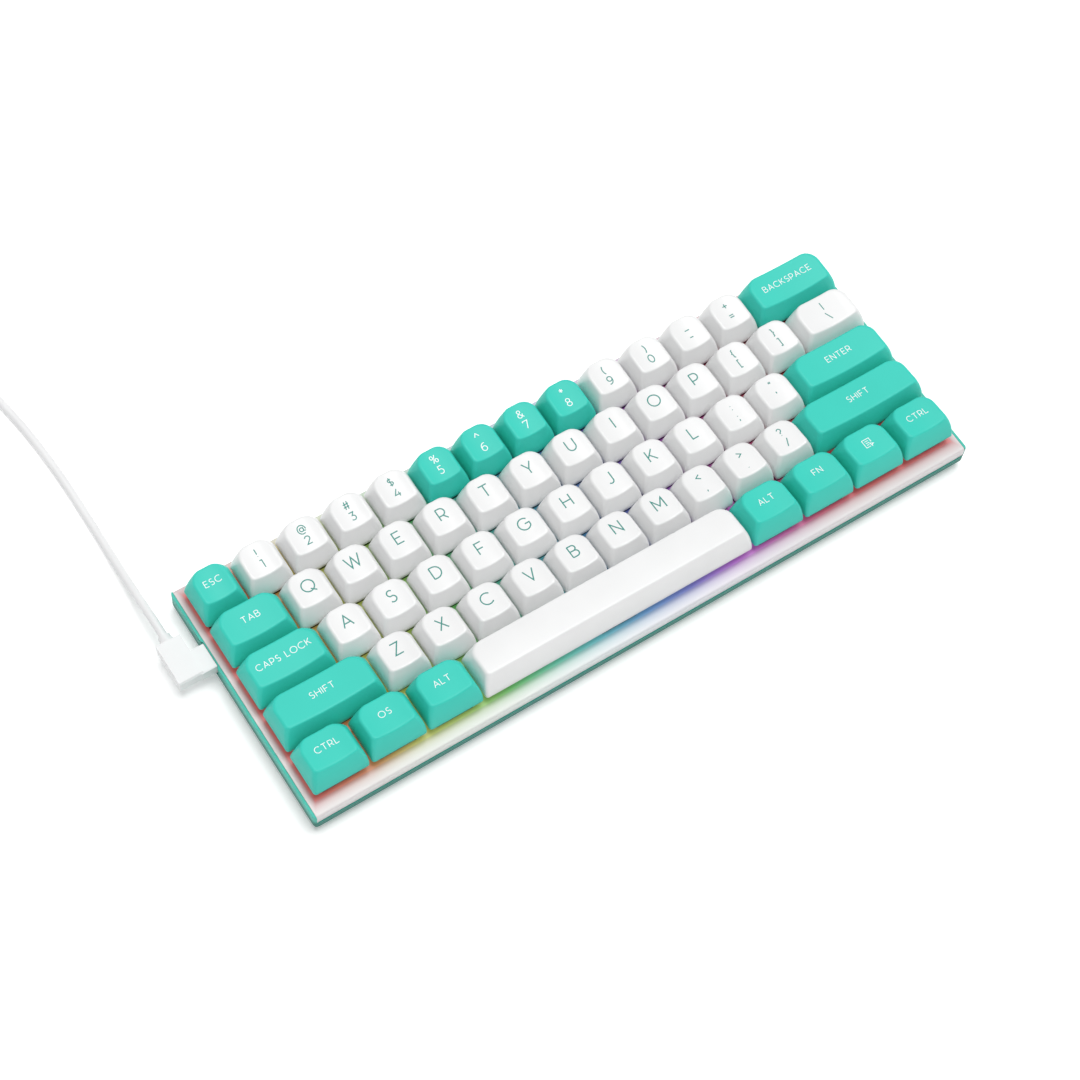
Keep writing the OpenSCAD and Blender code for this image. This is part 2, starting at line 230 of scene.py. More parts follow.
def add_hue(material):
    """The backlight's hue across the width, and the node that splits the position into X, Y, Z."""
    separate = add_node(material, "ShaderNodeSeparateXYZ")
    link(material, position(material), separate.inputs[0])
    shifted = arithmetic(material, "SUBTRACT", separate.outputs["X"], GLOW_LEFT * MM)
    along = arithmetic(material, "DIVIDE", shifted, (GLOW_RIGHT - GLOW_LEFT) * MM)
    ramp = material.node_tree.nodes.new("ShaderNodeValToRGB")
    elements = ramp.color_ramp.elements
    while len(elements) < len(GLOW_HUES):
        elements.new(0.5)
    for element, (x, colour) in zip(elements, GLOW_HUES):
        element.position = (x - GLOW_LEFT) / (GLOW_RIGHT - GLOW_LEFT)
        element.color = (*colour, 1)
    link(material, along, ramp.inputs["Fac"])
    return ramp.outputs["Color"], separate


# ---------------------------------------------------------------- key layout

UNIT = 19.05
KEY_GAP = 0.95
FIELD_LEFT = node_box("key_esc")[0].x - KEY_GAP / 2
FIELD_BACK = node_box("key_esc")[1].y + KEY_GAP / 2
FIELD_WIDTH, FIELD_DEPTH = 15 * UNIT, 5 * UNIT
FIELD_FRONT = FIELD_BACK - FIELD_DEPTH
CAP_BOTTOM = 16.8


def letters(text):
    return [(letter.upper(), 1, "key_" + letter, letter) for letter in text]


def grouped(*keys):
    return [(legend, width, GROUP_BODY, name) for legend, width, name in keys]


def named(legend, width, body):
    return [(legend, width, body, body[4:])]


DIGIT_SHIFTS = "!@#$%^&*()"
DIGITS = "1234567890"
KEY_ROWS = [
    named("ESC", 1, "key_esc")
    + grouped(*[(s + "\n" + d, 1, "digit_" + d) for s, d in zip(DIGIT_SHIFTS, DIGITS)])
    + grouped(("_\n-", 1, "minus"), ("+\n=", 1, "equals"))
    + named("BACKSPACE", 2, "key_backspace"),
    named("TAB", 1.5, "key_tab")
    + letters("qwertyuiop")
    + grouped(("{\n[", 1, "open_bracket"), ("}\n]", 1, "close_bracket"))
    + grouped(("|\n\\", 1.5, "backslash")),
    named("CAPS LOCK", 1.75, "key_caps_lock")
    + letters("asdfghjkl")
    + grouped((":\n;", 1, "semicolon"), ("\"\n'", 1, "quote"))
    + named("ENTER", 2.25, "key_enter"),
    named("SHIFT", 2.25, "key_left_shift")
    + letters("zxcvbnm")
    + grouped(("<\n,", 1, "comma"), (">\n.", 1, "period"), ("?\n/", 1, "slash"))
    + named("SHIFT", 2.75, "key_right_shift"),
    named("CTRL", 1.25, "key_left_ctrl")
    + named("OS", 1.25, "key_system")
    + named("ALT", 1.25, "key_left_alt")
    + named("", 6.25, "key_space")
    + named("ALT", 1.25, "key_right_alt")
    + named("FN", 1.25, "key_fn")
    + named("MENU_ICON", 1.25, "key_menu")
    + named("CTRL", 1.25, "key_right_ctrl"),
]
TEAL_DIGITS = ["digit_5", "digit_6", "digit_7", "digit_8"]


def is_teal(body, name):
    if body == GROUP_BODY:
        return name in TEAL_DIGITS
    return len(name) > 1 and name != "space"


# ---------------------------------------------------------------- mesh helpers


def mesh_piece(name, vertices, faces, material, body, smooth=True):
    mesh = bpy.data.meshes.new(name)
    mesh.from_pydata([point(*v) for v in vertices], [], faces)
    mesh.validate()
    return finish_piece(name, mesh, material, body, smooth)


def finish_piece(name, mesh, material, body, smooth=True):
    builder = bmesh.new()
    builder.from_mesh(mesh)
    bmesh.ops.remove_doubles(builder, verts=builder.verts, dist=0.002 * MM)
    bmesh.ops.dissolve_degenerate(builder, edges=builder.edges, dist=0.001 * MM)
    bmesh.ops.recalc_face_normals(builder, faces=builder.faces)
    builder.to_mesh(mesh)
    builder.free()
    for polygon in mesh.polygons:
        polygon.use_smooth = smooth
    obj = bpy.data.objects.new(name, mesh)
    obj.data.materials.append(material)
    bpy.context.scene.collection.objects.link(obj)
    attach(obj, body)
    return obj


def soften(obj, width, segments=2, angle=30):
    """Rounds a piece's hard edges by width, in millimetres."""
    weld = obj.modifiers.new("weld", "WELD")
    weld.merge_threshold = 0.002 * MM
    bevel = obj.modifiers.new("bevel", "BEVEL")
    bevel.width = width * MM
    bevel.segments = segments
    bevel.limit_method = "ANGLE"
    bevel.angle_limit = math.radians(angle)
    bevel.harden_normals = False
    bevel.use_clamp_overlap = True
    shade = obj.modifiers.new("normals", "WEIGHTED_NORMAL")
    shade.keep_sharp = True
    return obj


# ---------------------------------------------------------------- keycaps

ROW_HEIGHTS = [10.4, 9.8, 9.3, 10.1, 10.1]
ROW_TILTS = [2, 0, -1, -5, -5]
SIDE_INSET, FRONT_INSET, BACK_INSET = 2.5, 4.0, 0.3
SIDE_BULGE, DEPTH_BULGE = 2.3, 1.4
DISH_DEPTH = 0.9
SPACE_CROWN = 0.5
BASE_RADIUS, FRONT_TOP_RADIUS, BACK_TOP_RADIUS = 1.2, 1.8, 6.0
CAP_DEPTH = UNIT - KEY_GAP
CAP_WALL, CAP_TOP = 1.1, 2.0
SIDE_FILLET, FRONT_FILLET, BACK_FILLET = 1.0, 0.6, 0.8
SPACE_BAR_UNITS = 6
# Points along each side and round each corner of a keycap's outline
LONG_SIDE_STEPS_PER_UNIT, SIDE_STEPS, CORNER_STEPS = 7, 8, 7
FILLET_STEPS = 8
BOTTOM_CHAMFER = 0.15
# Shares of the height, or of the way to the spine, at which a keycap has a ring of points
WALL_SHARES = (0.02, 0.12, 0.25, 0.38, 0.5, 0.62, 0.7)
INNER_WALL_SHARES = (0.35, 0.7, 1.0)
TOP_RING_SHARES = (0.08, 0.2, 0.35, 0.5, 0.65, 0.8, 0.92, 1)
CEILING_SHRINKS = (CAP_WALL + 2, CAP_WALL + 4.5, CAP_DEPTH)


class Keycap:
    """Shape of one keycap, in millimetres from the middle of its bottom edge."""

    def __init__(self, row, width):
        self.row = row
        self.width = width * UNIT - KEY_GAP
        self.height = ROW_HEIGHTS[row]
        self.slope = math.tan(math.radians(ROW_TILTS[row]))
        self.half_top = self.width / 2 - SIDE_INSET
        self.is_space = width > SPACE_BAR_UNITS
        self.middle_y = (FRONT_INSET - BACK_INSET) / 2
        half_depth = (CAP_DEPTH - FRONT_INSET - BACK_INSET) / 2
        self.spine = max(self.half_top - half_depth, 0)
        long_side_steps = max(SIDE_STEPS, round(LONG_SIDE_STEPS_PER_UNIT * width))
        self.directions = outline_directions(long_side_steps, SIDE_STEPS, CORNER_STEPS)

    def rim_height(self, y):
        return self.height + y * self.slope

    def top(self, x, y):
        """Height of the key's top surface."""
        if self.is_space:
            return self.rim_height(y) - SPACE_CROWN * (2 * y / CAP_DEPTH) ** 2
        across = min(abs(x) / self.half_top, 1)
        return self.rim_height(y) - DISH_DEPTH * (1 - across * across)

    def outline(self, direction, rise, shrink):
        """A point of the outline at a share of the height, moved inwards by shrink."""
        along_x, along_y, normal_x, normal_y = direction
        rise = max(rise, 0)
        half_x = max(self.width / 2 - SIDE_INSET * rise**SIDE_BULGE - shrink, 0)
        front = -CAP_DEPTH / 2 + FRONT_INSET * rise**DEPTH_BULGE + shrink
        back = CAP_DEPTH / 2 - BACK_INSET * rise**DEPTH_BULGE - shrink
        middle, half_y = (front + back) / 2, max((back - front) / 2, 0)
        top_radius = BACK_TOP_RADIUS if along_y > 0 else FRONT_TOP_RADIUS
        radius = BASE_RADIUS + (top_radius - BASE_RADIUS) * rise - shrink
        radius = max(0, min(radius, half_x, half_y))
        return (
            along_x * (half_x - radius) + normal_x * radius,
            middle + along_y * (half_y - radius) + normal_y * radius,
        )

    def side_point(self, direction, rise):
        x, y = self.outline(direction, rise, 0)
        x, y = self.outline(direction, rise * self.top(x, y) / self.rim_height(y), 0)
        return Vector((x, y, rise * self.top(x, y)))

    def top_point(self, direction, shrink):
        x, y = self.outline(direction, 1, 0)
        rise = self.top(x, y) / self.rim_height(y)
        x, y = self.outline(direction, rise, shrink)
        return Vector((x, y, self.top(x, y)))

    def fillet(self, direction):
        along_y = FRONT_FILLET if direction[3] < 0 else BACK_FILLET
        return SIDE_FILLET * direction[2] ** 2 + along_y * direction[3] ** 2

    def top_ring(self, share):
        """A ring of the top surface, between its edge and the spine along its middle."""
        ring = []
        for direction in self.directions:
            edge = self.top_point(direction, self.fillet(direction))
            spine_x = max(-self.spine, min(self.spine, direction[0] * self.half_top))
            x = edge.x + (spine_x - edge.x) * share
            y = edge.y + (self.middle_y - edge.y) * share
            ring.append(Vector((x, y, self.top(x, y))))
        return ring

    def rings(self):
        """The outside, from the inner bottom edge up the walls to the middle of the top."""
        yield [self.inner_point(d, 0) for d in self.directions]
        bottom = [self.side_point(d, 0) for d in self.directions]
        inwards = [Vector((d[2], d[3], 0)) * BOTTOM_CHAMFER for d in self.directions]
        yield [p - step for p, step in zip(bottom, inwards)]
        for rise in WALL_SHARES:
            yield [self.side_point(d, rise) for d in self.directions]
        for step in range(FILLET_STEPS + 1):
            yield [self.fillet_point(d, step / FILLET_STEPS) for d in self.directions]
        for share in TOP_RING_SHARES:
            yield self.top_ring(share)

    def fillet_point(self, direction, share):
        size = self.fillet(direction)
        start = self.side_point(direction, 1 - size / self.height)
        corner = self.top_point(direction, 0)
        end = self.top_point(direction, size)
        return start * (1 - share) ** 2 + corner * 2 * share * (1 - share) + end * share**2

    def inner_point(self, direction, rise):
        x, y = self.outline(direction, rise, CAP_WALL)
        return Vector((x, y, rise * (self.rim_height(y) - CAP_TOP)))

    def inner_rings(self):
        """The hollow underside, from the bottom edge up and in to the middle of the ceiling."""
        for rise in INNER_WALL_SHARES:
            yield [self.inner_point(d, rise) for d in self.directions]
        for shrink in CEILING_SHRINKS:
            ring = [self.outline(d, 1, shrink) for d in self.directions]
            yield [Vector((x, y, self.rim_height(y) - CAP_TOP)) for x, y in ring]


def outline_directions(straight, side, corner):
    """Where each point of a rounded rectangle lies: its share along X and Y, and its normal."""
    directions = []
    sides = [(1, -1, straight), (1, 1, side), (-1, 1, straight), (-1, -1, side)]
    for quarter, (sign_x, sign_y, steps) in enumerate(sides):
        normal = math.radians(90 * quarter - 90)
        facing = (math.cos(normal), math.sin(normal))
        for step in range(steps):
            share = 2 * step / steps - 1
            along = (share, -1), (1, share), (-share, 1), (-1, -share)
            directions.append((*along[quarter], *facing))
        for step in range(corner):
            angle = normal + math.radians(90) * step / corner
            directions.append((sign_x, sign_y, math.cos(angle), math.sin(angle)))
    return directions


def loft(rings):
    """Vertices and faces of a closed shell through rings of equal length."""
    vertices, faces = [], []
    count = len(rings[0])
    for ring in rings:
        vertices.extend(ring)
    for level in range(len(rings) - 1):
        for i in range(count):
            j = (i + 1) % count
            low, high = level * count, (level + 1) * count
            faces.append((low + i, low + j, high + j, high + i))
    return vertices, faces


def keycap_mesh(cap):
    outer = list(cap.rings())
    inner = list(cap.inner_rings())
    return loft(list(reversed(inner)) + outer)


# ---------------------------------------------------------------- legends


ARC_STEP = 15


def arc(centre_x, centre_y, radius_x, radius_y, start, end):
    """Points on an ellipse, anticlockwise where end is over start, in degrees."""
    steps = max(4, round(abs(end - start) / ARC_STEP))
    angles = [math.radians(start + (end - start) * i / steps) for i in range(steps + 1)]
    return [
        (centre_x + radius_x * math.cos(a), centre_y + radius_y * math.sin(a)) for a in angles
    ]


def bowl(left, low, high, right):
    """A stroke that leaves (left, high), bends round to the right and ends at (left, low)."""
    radius = (high - low) / 2
    turn = arc(right - radius, low + radius, radius, radius, 90, -90)
    return [(left, high), *turn, (left, low)]


# Each glyph: its width, then its strokes, for a capital one unit high
GLYPHS = {
    "A": (0.80, [[(0, 0), (0.4, 1), (0.8, 0)], [(0.13, 0.31), (0.67, 0.31)]]),
    "B": (0.64, [[(0, 0), (0, 1)], bowl(0, 0.53, 1, 0.58), bowl(0, 0, 0.53, 0.64)]),
    "C": (0.86, [arc(0.5, 0.5, 0.5, 0.5, 45, 315)]),
    "D": (0.78, [[(0, 0), (0, 1)], bowl(0, 0, 1, 0.78)]),
    "E": (0.58, [[(0.58, 1), (0, 1), (0, 0), (0.58, 0)], [(0, 0.51), (0.5, 0.51)]]),
    "F": (0.56, [[(0.56, 1), (0, 1), (0, 0)], [(0, 0.48), (0.5, 0.48)]]),
    "G": (0.92, [[*arc(0.5, 0.5, 0.5, 0.5, 45, 330), (0.93, 0.5), (0.56, 0.5)]]),
    "H": (0.72, [[(0, 0), (0, 1)], [(0.72, 0), (0.72, 1)], [(0, 0.51), (0.72, 0.51)]]),
    "I": (0.02, [[(0.01, 0), (0.01, 1)]]),
    "J": (0.46, [[(0.46, 1), (0.46, 0.28), *arc(0.22, 0.24, 0.24, 0.24, 0, -140)]]),
    "K": (0.66, [[(0, 0), (0, 1)], [(0.62, 1), (0, 0.35)], [(0.22, 0.58), (0.66, 0)]]),
    "L": (0.52, [[(0, 1), (0, 0), (0.52, 0)]]),
    "M": (0.88, [[(0, 0), (0, 1), (0.44, 0.3), (0.88, 1), (0.88, 0)]]),
    "N": (0.74, [[(0, 0), (0, 1), (0.74, 0), (0.74, 1)]]),
    "O": (1.0, [arc(0.5, 0.5, 0.5, 0.5, 0, 360)]),
    "P": (0.62, [[(0, 0), (0, 1)], bowl(0, 0.36, 1, 0.62)]),
    "Q": (1.0, [arc(0.5, 0.5, 0.5, 0.5, 0, 360), [(0.58, 0.2), (0.96, -0.12)]]),
    "R": (0.64, [[(0, 0), (0, 1)], bowl(0, 0.36, 1, 0.62), [(0.36, 0.36), (0.64, 0)]]),
    "S": (
        0.58,
        [
            [
                *arc(0.3, 0.745, 0.25, 0.255, 40, 250),
                *arc(0.3, 0.265, 0.28, 0.265, 70, -140),
            ]
        ],
    ),
    "T": (0.72, [[(0, 1), (0.72, 1)], [(0.36, 1), (0.36, 0)]]),
    "U": (0.70, [[(0, 1), *arc(0.35, 0.35, 0.35, 0.35, 180, 360), (0.70, 1)]]),
    "V": (0.80, [[(0, 1), (0.4, 0), (0.8, 1)]]),
    "W": (1.2, [[(0, 1), (0.32, 0), (0.6, 0.95), (0.88, 0), (1.2, 1)]]),
    "X": (0.70, [[(0, 0), (0.68, 1)], [(0.02, 1), (0.70, 0)]]),
    "Y": (0.72, [[(0, 1), (0.36, 0.4), (0.72, 1)], [(0.36, 0.4), (0.36, 0)]]),
    "Z": (0.66, [[(0.02, 1), (0.64, 1), (0, 0), (0.66, 0)]]),
    "0": (0.68, [arc(0.34, 0.5, 0.34, 0.5, 0, 360)]),
    "1": (0.26, [[(0, 1), (0.26, 1), (0.26, 0)]]),
    "2": (0.6, [[*arc(0.3, 0.71, 0.29, 0.29, 165, -40), (0, 0), (0.6, 0)]]),
    "3": (0.58, [[(0, 1), (0.54, 1), (0.26, 0.6), *arc(0.27, 0.3, 0.3, 0.3, 90, -145)]]),
    "4": (0.7, [[(0.46, 1), (0, 0.28), (0.7, 0.28)], [(0.52, 0.56), (0.52, 0)]]),
    "5": (
        0.56,
        [[(0.52, 1), (0.1, 1), (0.06, 0.58), *arc(0.24, 0.3, 0.3, 0.3, 95, -140)]],
    ),
    "6": (
        0.6,
        [arc(0.3, 0.31, 0.3, 0.31, 0, 360), arc(0.46, 0.42, 0.46, 0.58, 180, 75)],
    ),
    "7": (0.6, [[(0, 0.84), (0, 1), (0.6, 1), (0.18, 0)]]),
    "8": (
        0.58,
        [arc(0.29, 0.76, 0.24, 0.24, 0, 360), arc(0.29, 0.26, 0.29, 0.26, 0, 360)],
    ),
    "9": (
        0.6,
        [arc(0.3, 0.69, 0.3, 0.31, 0, 360), arc(0.14, 0.58, 0.46, 0.58, 0, -105)],
    ),
    "!": (0.04, [[(0.02, 1), (0.02, 0.28)], [(0.02, 0.06), (0.02, 0)]]),
    "@": (
        0.95,
        [
            arc(0.47, 0.42, 0.22, 0.24, 0, 360),
            [(0.69, 0.66), (0.69, 0.26), *arc(0.8, 0.28, 0.11, 0.1, 200, 320)],
            arc(0.47, 0.42, 0.47, 0.56, -10, 300),
        ],
    ),
    "#": (
        0.74,
        [
            [(0.3, 1), (0.16, 0)],
            [(0.62, 1), (0.48, 0)],
            [(0.06, 0.68), (0.74, 0.68)],
            [(0, 0.32), (0.68, 0.32)],
        ],
    ),
    "$": (
        0.58,
        [
            [
                *arc(0.3, 0.7, 0.23, 0.2, 40, 250),
                *arc(0.3, 0.31, 0.26, 0.2, 70, -140),
            ],
            [(0.29, 1.08), (0.29, -0.06)],
        ],
    ),
    "%": (
        0.8,
        [
            arc(0.17, 0.76, 0.17, 0.22, 0, 360),
            arc(0.63, 0.24, 0.17, 0.22, 0, 360),
            [(0.64, 1), (0.16, 0)],
        ],
    ),
    "^": (0.56, [[(0, 0.5), (0.28, 0.95), (0.56, 0.5)]]),
    "&": (
        0.7,
        [
            [
                (0.7, 0),
                (0.2, 0.58),
                *arc(0.32, 0.78, 0.19, 0.2, 210, -30),
                (0.16, 0.48),
                *arc(0.27, 0.25, 0.26, 0.25, 130, 300),
                (0.66, 0.42),
            ]
        ],
    ),
    "*": (
        0.4,
        [
            [(0.2, 0.95), (0.2, 0.45)],
            [(0, 0.82), (0.4, 0.58)],
            [(0, 0.58), (0.4, 0.82)],
        ],
    ),
    "(": (0.22, [arc(0.6, 0.44, 0.6, 0.8, 137, 223)]),
    ")": (0.22, [arc(-0.38, 0.44, 0.6, 0.8, 43, -43)]),
    "_": (0.6, [[(0, 0.02), (0.6, 0.02)]]),
    "-": (0.44, [[(0, 0.5), (0.44, 0.5)]]),
    "+": (0.6, [[(0, 0.5), (0.6, 0.5)], [(0.3, 0.2), (0.3, 0.8)]]),
    "=": (0.56, [[(0, 0.64), (0.56, 0.64)], [(0, 0.36), (0.56, 0.36)]]),
    "{": (
        0.26,
        [
            [(0.26, 1), (0.12, 0.9), (0.12, 0.58), (0, 0.45)]
            + [(0.12, 0.32), (0.12, 0), (0.26, -0.1)]
        ],
    ),
    "}": (
        0.26,
        [
            [(0, 1), (0.14, 0.9), (0.14, 0.58), (0.26, 0.45)]
            + [(0.14, 0.32), (0.14, 0), (0, -0.1)]
        ],
    ),
    "[": (0.22, [[(0.22, 1), (0, 1), (0, -0.08), (0.22, -0.08)]]),
    "]": (0.22, [[(0, 1), (0.22, 1), (0.22, -0.08), (0, -0.08)]]),
    "|": (0.02, [[(0.01, 1), (0.01, -0.06)]]),
    "\\": (0.46, [[(0, 1), (0.46, -0.04)]]),
    "/": (0.46, [[(0, -0.04), (0.46, 1)]]),
    ":": (0.04, [[(0.02, 0.62), (0.02, 0.55)], [(0.02, 0.12), (0.02, 0.05)]]),
    ";": (0.08, [[(0.05, 0.62), (0.05, 0.55)], [(0.05, 0.12), (0.05, 0.02), (0, -0.12)]]),
    '"': (0.2, [[(0.02, 1), (0.02, 0.74)], [(0.18, 1), (0.18, 0.74)]]),
    "'": (0.02, [[(0.01, 1), (0.01, 0.74)]]),
    ",": (0.08, [[(0.05, 0.08), (0.05, 0), (0, -0.16)]]),
    ".": (0.04, [[(0.02, 0.07), (0.02, 0)]]),
    "<": (0.5, [[(0.5, 0.82), (0, 0.5), (0.5, 0.18)]]),
    ">": (0.5, [[(0, 0.82), (0.5, 0.5), (0, 0.18)]]),
    "?": (
        0.5,
        [
            [*arc(0.25, 0.75, 0.24, 0.25, 165, -60), (0.24, 0.42), (0.24, 0.28)],
            [(0.24, 0.06), (0.24, 0)],
        ],
    ),
    " ": (0.3, []),
}
MENU_ICON = [
    [(-0.5, 0.5), (0.5, 0.5), (0.5, -0.1)],
    [(-0.5, 0.5), (-0.5, -0.6), (0.1, -0.6)],
    [(-0.25, 0.22), (0.25, 0.22)],
    [(-0.25, -0.05), (0.25, -0.05)],
    [(-0.25, -0.32), (0.05, -0.32)],
    [(0.2, -0.2), (0.62, -0.42), (0.4, -0.46), (0.32, -0.68), (0.2, -0.2)],
]
MENU_ICON_SIZE = 3.2
LETTER_SPACE = 0.32
LETTER_HEIGHT, LETTER_Y = 4.9, 2.3
WORD_HEIGHT, WORD_Y = 2.5, 2.2
SYMBOL_HEIGHT = 3.3
SHIFTED_Y, PLAIN_Y = 4.1, -0.9
LEGEND_RISE, LEGEND_DEPTH = 0.03, 0.12
LETTER_STROKE, WORD_STROKE, SYMBOL_STROKE = 0.5, 0.34, 0.42
# Stroke width of white legends, as a share of teal ones
WHITE_INK_SHARE = 0.8
# Crossing strokes of one legend differ by this in height
STROKE_STAGGER = 0.002
# Limits for the corners of strokes: least sum of directions and cosine, greatest stretch
LEAST_TURN_LENGTH, LEAST_MITRE_COSINE, GREATEST_MITRE = 0.2, 0.3, 2.2


def text_strokes(text, height, middle_y):
    """Strokes of a centred line of text, in millimetres."""
    widths = [GLYPHS[letter][0] for letter in text]
    total = sum(widths) + LETTER_SPACE * (len(text) - 1)
    cursor, strokes = -total / 2, []
    for letter, width in zip(text, widths):
        for stroke in GLYPHS[letter][1]:
            strokes.append(
                [((x + cursor) * height, (y - 0.5) * height + middle_y) for x, y in stroke]
            )
        cursor += width + LETTER_SPACE
    return strokes


def legend_strokes(legend):
    """Strokes and stroke width of a key's legend."""
    if legend == "MENU_ICON":
        size = MENU_ICON_SIZE
        strokes = [[(x * size, y * size + WORD_Y) for x, y in s] for s in MENU_ICON]
        return strokes, WORD_STROKE
    if "\n" in legend:
        shifted, plain = legend.split("\n")
        strokes = text_strokes(shifted, SYMBOL_HEIGHT, SHIFTED_Y)
        return strokes + text_strokes(plain, SYMBOL_HEIGHT, PLAIN_Y), SYMBOL_STROKE
    if len(legend) == 1:
        return text_strokes(legend, LETTER_HEIGHT, LETTER_Y), LETTER_STROKE
    return text_strokes(legend, WORD_HEIGHT, WORD_Y), WORD_STROKE


def resample(stroke, step=0.6):
    """The same stroke with no segment longer than step."""
    points = [Vector(stroke[0])]
    for target in stroke[1:]:
        start, end = points[-1], Vector(target)
        pieces = max(1, math.ceil((end - start).length / step))
        points.extend(start.lerp(end, i / pieces) for i in range(1, pieces + 1))
    return points


def side_offsets(points, half):
    """Offset to the left of each point of a stroke, mitred at bends."""
    closed = (points[0] - points[-1]).length < 0.001
    last = len(points) - 1
    offsets = []
    for i in range(len(points)):
        before = points[i] - points[i - 1] if i else None
        after = points[i + 1] - points[i] if i < last else None
        if closed and not i:
            before = points[last] - points[last - 1]
        if closed and i == last:
            after = points[1] - points[0]
        before = (before or after).normalized()
        after = (after or before).normalized()
        middle = before + after
        if middle.length < LEAST_TURN_LENGTH:
            middle = before
        middle.normalize()
        stretch = min(1 / max(middle.dot(before), LEAST_MITRE_COSINE), GREATEST_MITRE)
        offsets.append(Vector((-middle.y, middle.x)) * half * stretch)
    return offsets


def legend_mesh(cap, strokes, width):
    """Thin solid strokes that follow the keycap's top."""
    vertices, faces = [], []
    for number, stroke in enumerate(strokes):
        points = resample(stroke)
        offsets = side_offsets(points, width / 2)
        rise = LEGEND_RISE + STROKE_STAGGER * number
        base = len(vertices)
        for spot, offset in zip(points, offsets):
            for side, height in ((1, rise), (-1, rise), (-1, -LEGEND_DEPTH), (1, -LEGEND_DEPTH)):
                x, y = spot + offset * side
                vertices.append((x, y, cap.top(x, y) + height))
        for i in range(len(points) - 1):
            low, high = base + 4 * i, base + 4 * i + 4
            for k in range(4):
                faces.append((low + k, low + (k + 1) % 4, high + (k + 1) % 4, high + k))
        faces.append(tuple(base + k for k in range(3, -1, -1)))
        faces.append(tuple(base + 4 * (len(points) - 1) + k for k in range(4)))
    return vertices, faces


# ---------------------------------------------------------------- stems


def bevelled_box(size, centre, bevel=0.15, segments=2):
    builder = bmesh.new()
    bmesh.ops.create_cube(builder, size=1)
    for vertex in builder.verts:
        vertex.co = Vector(centre) + Vector([c * s for c, s in zip(vertex.co, size)])
    bmesh.ops.bevel(
        builder, geom=builder.edges, offset=bevel, segments=segments, affect="EDGES", profile=0.5
    )
    shape = ([v.co.copy() for v in builder.verts], [[v.index for v in f.verts] for f in builder.faces])
    builder.free()
    return shape


def tube(bottom, top, outer, sides=24):
    """A solid round rod with chamfered ends."""
    chamfer = min(0.15, outer / 8)
    levels = [
        (bottom, outer / 2 - chamfer),
        (bottom + chamfer, outer / 2),
        (top - chamfer, outer / 2),
        (top, outer / 2 - chamfer),
    ]
    angles = [2 * math.pi * i / sides for i in range(sides)]
    rings = [[Vector((r * math.cos(a), r * math.sin(a), z)) for a in angles] for z, r in levels]
    vertices, faces = loft(rings)
    faces.append(tuple(reversed(range(sides))))
    faces.append(tuple(range(3 * sides, 4 * sides)))
    return vertices, faces


def merge(shapes):
    vertices, faces = [], []
    for shape_vertices, shape_faces in shapes:
        faces.extend([tuple(i + len(vertices) for i in f) for f in shape_faces])
        vertices.extend(shape_vertices)
    return vertices, faces


def moved(shape, x, y, z):
    return [Vector(v) + Vector((x, y, z)) for v in shape[0]], shape[1]


STEM_SHOULDER = 19.4
STEM_BOTTOM = 13.0
STEM_WIDTH, STEM_DEPTH, RAIL_WIDTH = 6.8, 5.2, 0.9
SPRING_SEAT = 16.0
FOOT_BOTTOM, FOOT_DIAMETER = 9.6, 2.2
CROSS_LENGTH, CROSS_WIDTH, CROSS_HEIGHT, CROSS_OVERLAP = 4.0, 1.15, 3.8, 0.2
STABILIZER_STEM_SIZE, STABILIZER_STEM_BOTTOM = (5, 6), 12.2
CAP_POST_BOTTOM, CAP_POST_DIAMETER = 2.7, 5.4


def stem_shapes(width, depth, bottom):
    """A block with a cross on top."""
    height = STEM_SHOULDER - bottom
    body = bevelled_box((width, depth, height), (0, 0, bottom + height / 2), 0.2)
    arms = [(CROSS_LENGTH, CROSS_WIDTH), (CROSS_WIDTH, CROSS_LENGTH)]
    middle = (0, 0, STEM_SHOULDER + CROSS_HEIGHT / 2 - CROSS_OVERLAP)
    cross = [bevelled_box((a, b, CROSS_HEIGHT), middle, 0.08) for a, b in arms]
    return [body, *cross]


def switch_stem_shapes():
    """A block with two side rails, the foot between them, and room for the spring."""
    rail_height = SPRING_SEAT + 0.3 - STEM_BOTTOM
    shapes = stem_shapes(STEM_WIDTH, STEM_DEPTH, SPRING_SEAT)
    for side in (-1, 1):
        centre = (side * (STEM_WIDTH - RAIL_WIDTH) / 2, 0, STEM_BOTTOM + rail_height / 2)
        shapes.append(bevelled_box((RAIL_WIDTH, STEM_DEPTH, rail_height), centre))
    return [*shapes, tube(FOOT_BOTTOM, SPRING_SEAT + 1, FOOT_DIAMETER)]


def stabilizer_reach(width):
    """How far a wide key's stabilizer stems stand to the side of its middle."""
    return 50 if width > 3 else 11.94


def key_place(row, left, width):
    """The middle of a key, with left and width in key units."""
    return FIELD_LEFT + (left + width / 2) * UNIT, FIELD_BACK - (row + 0.5) * UNIT


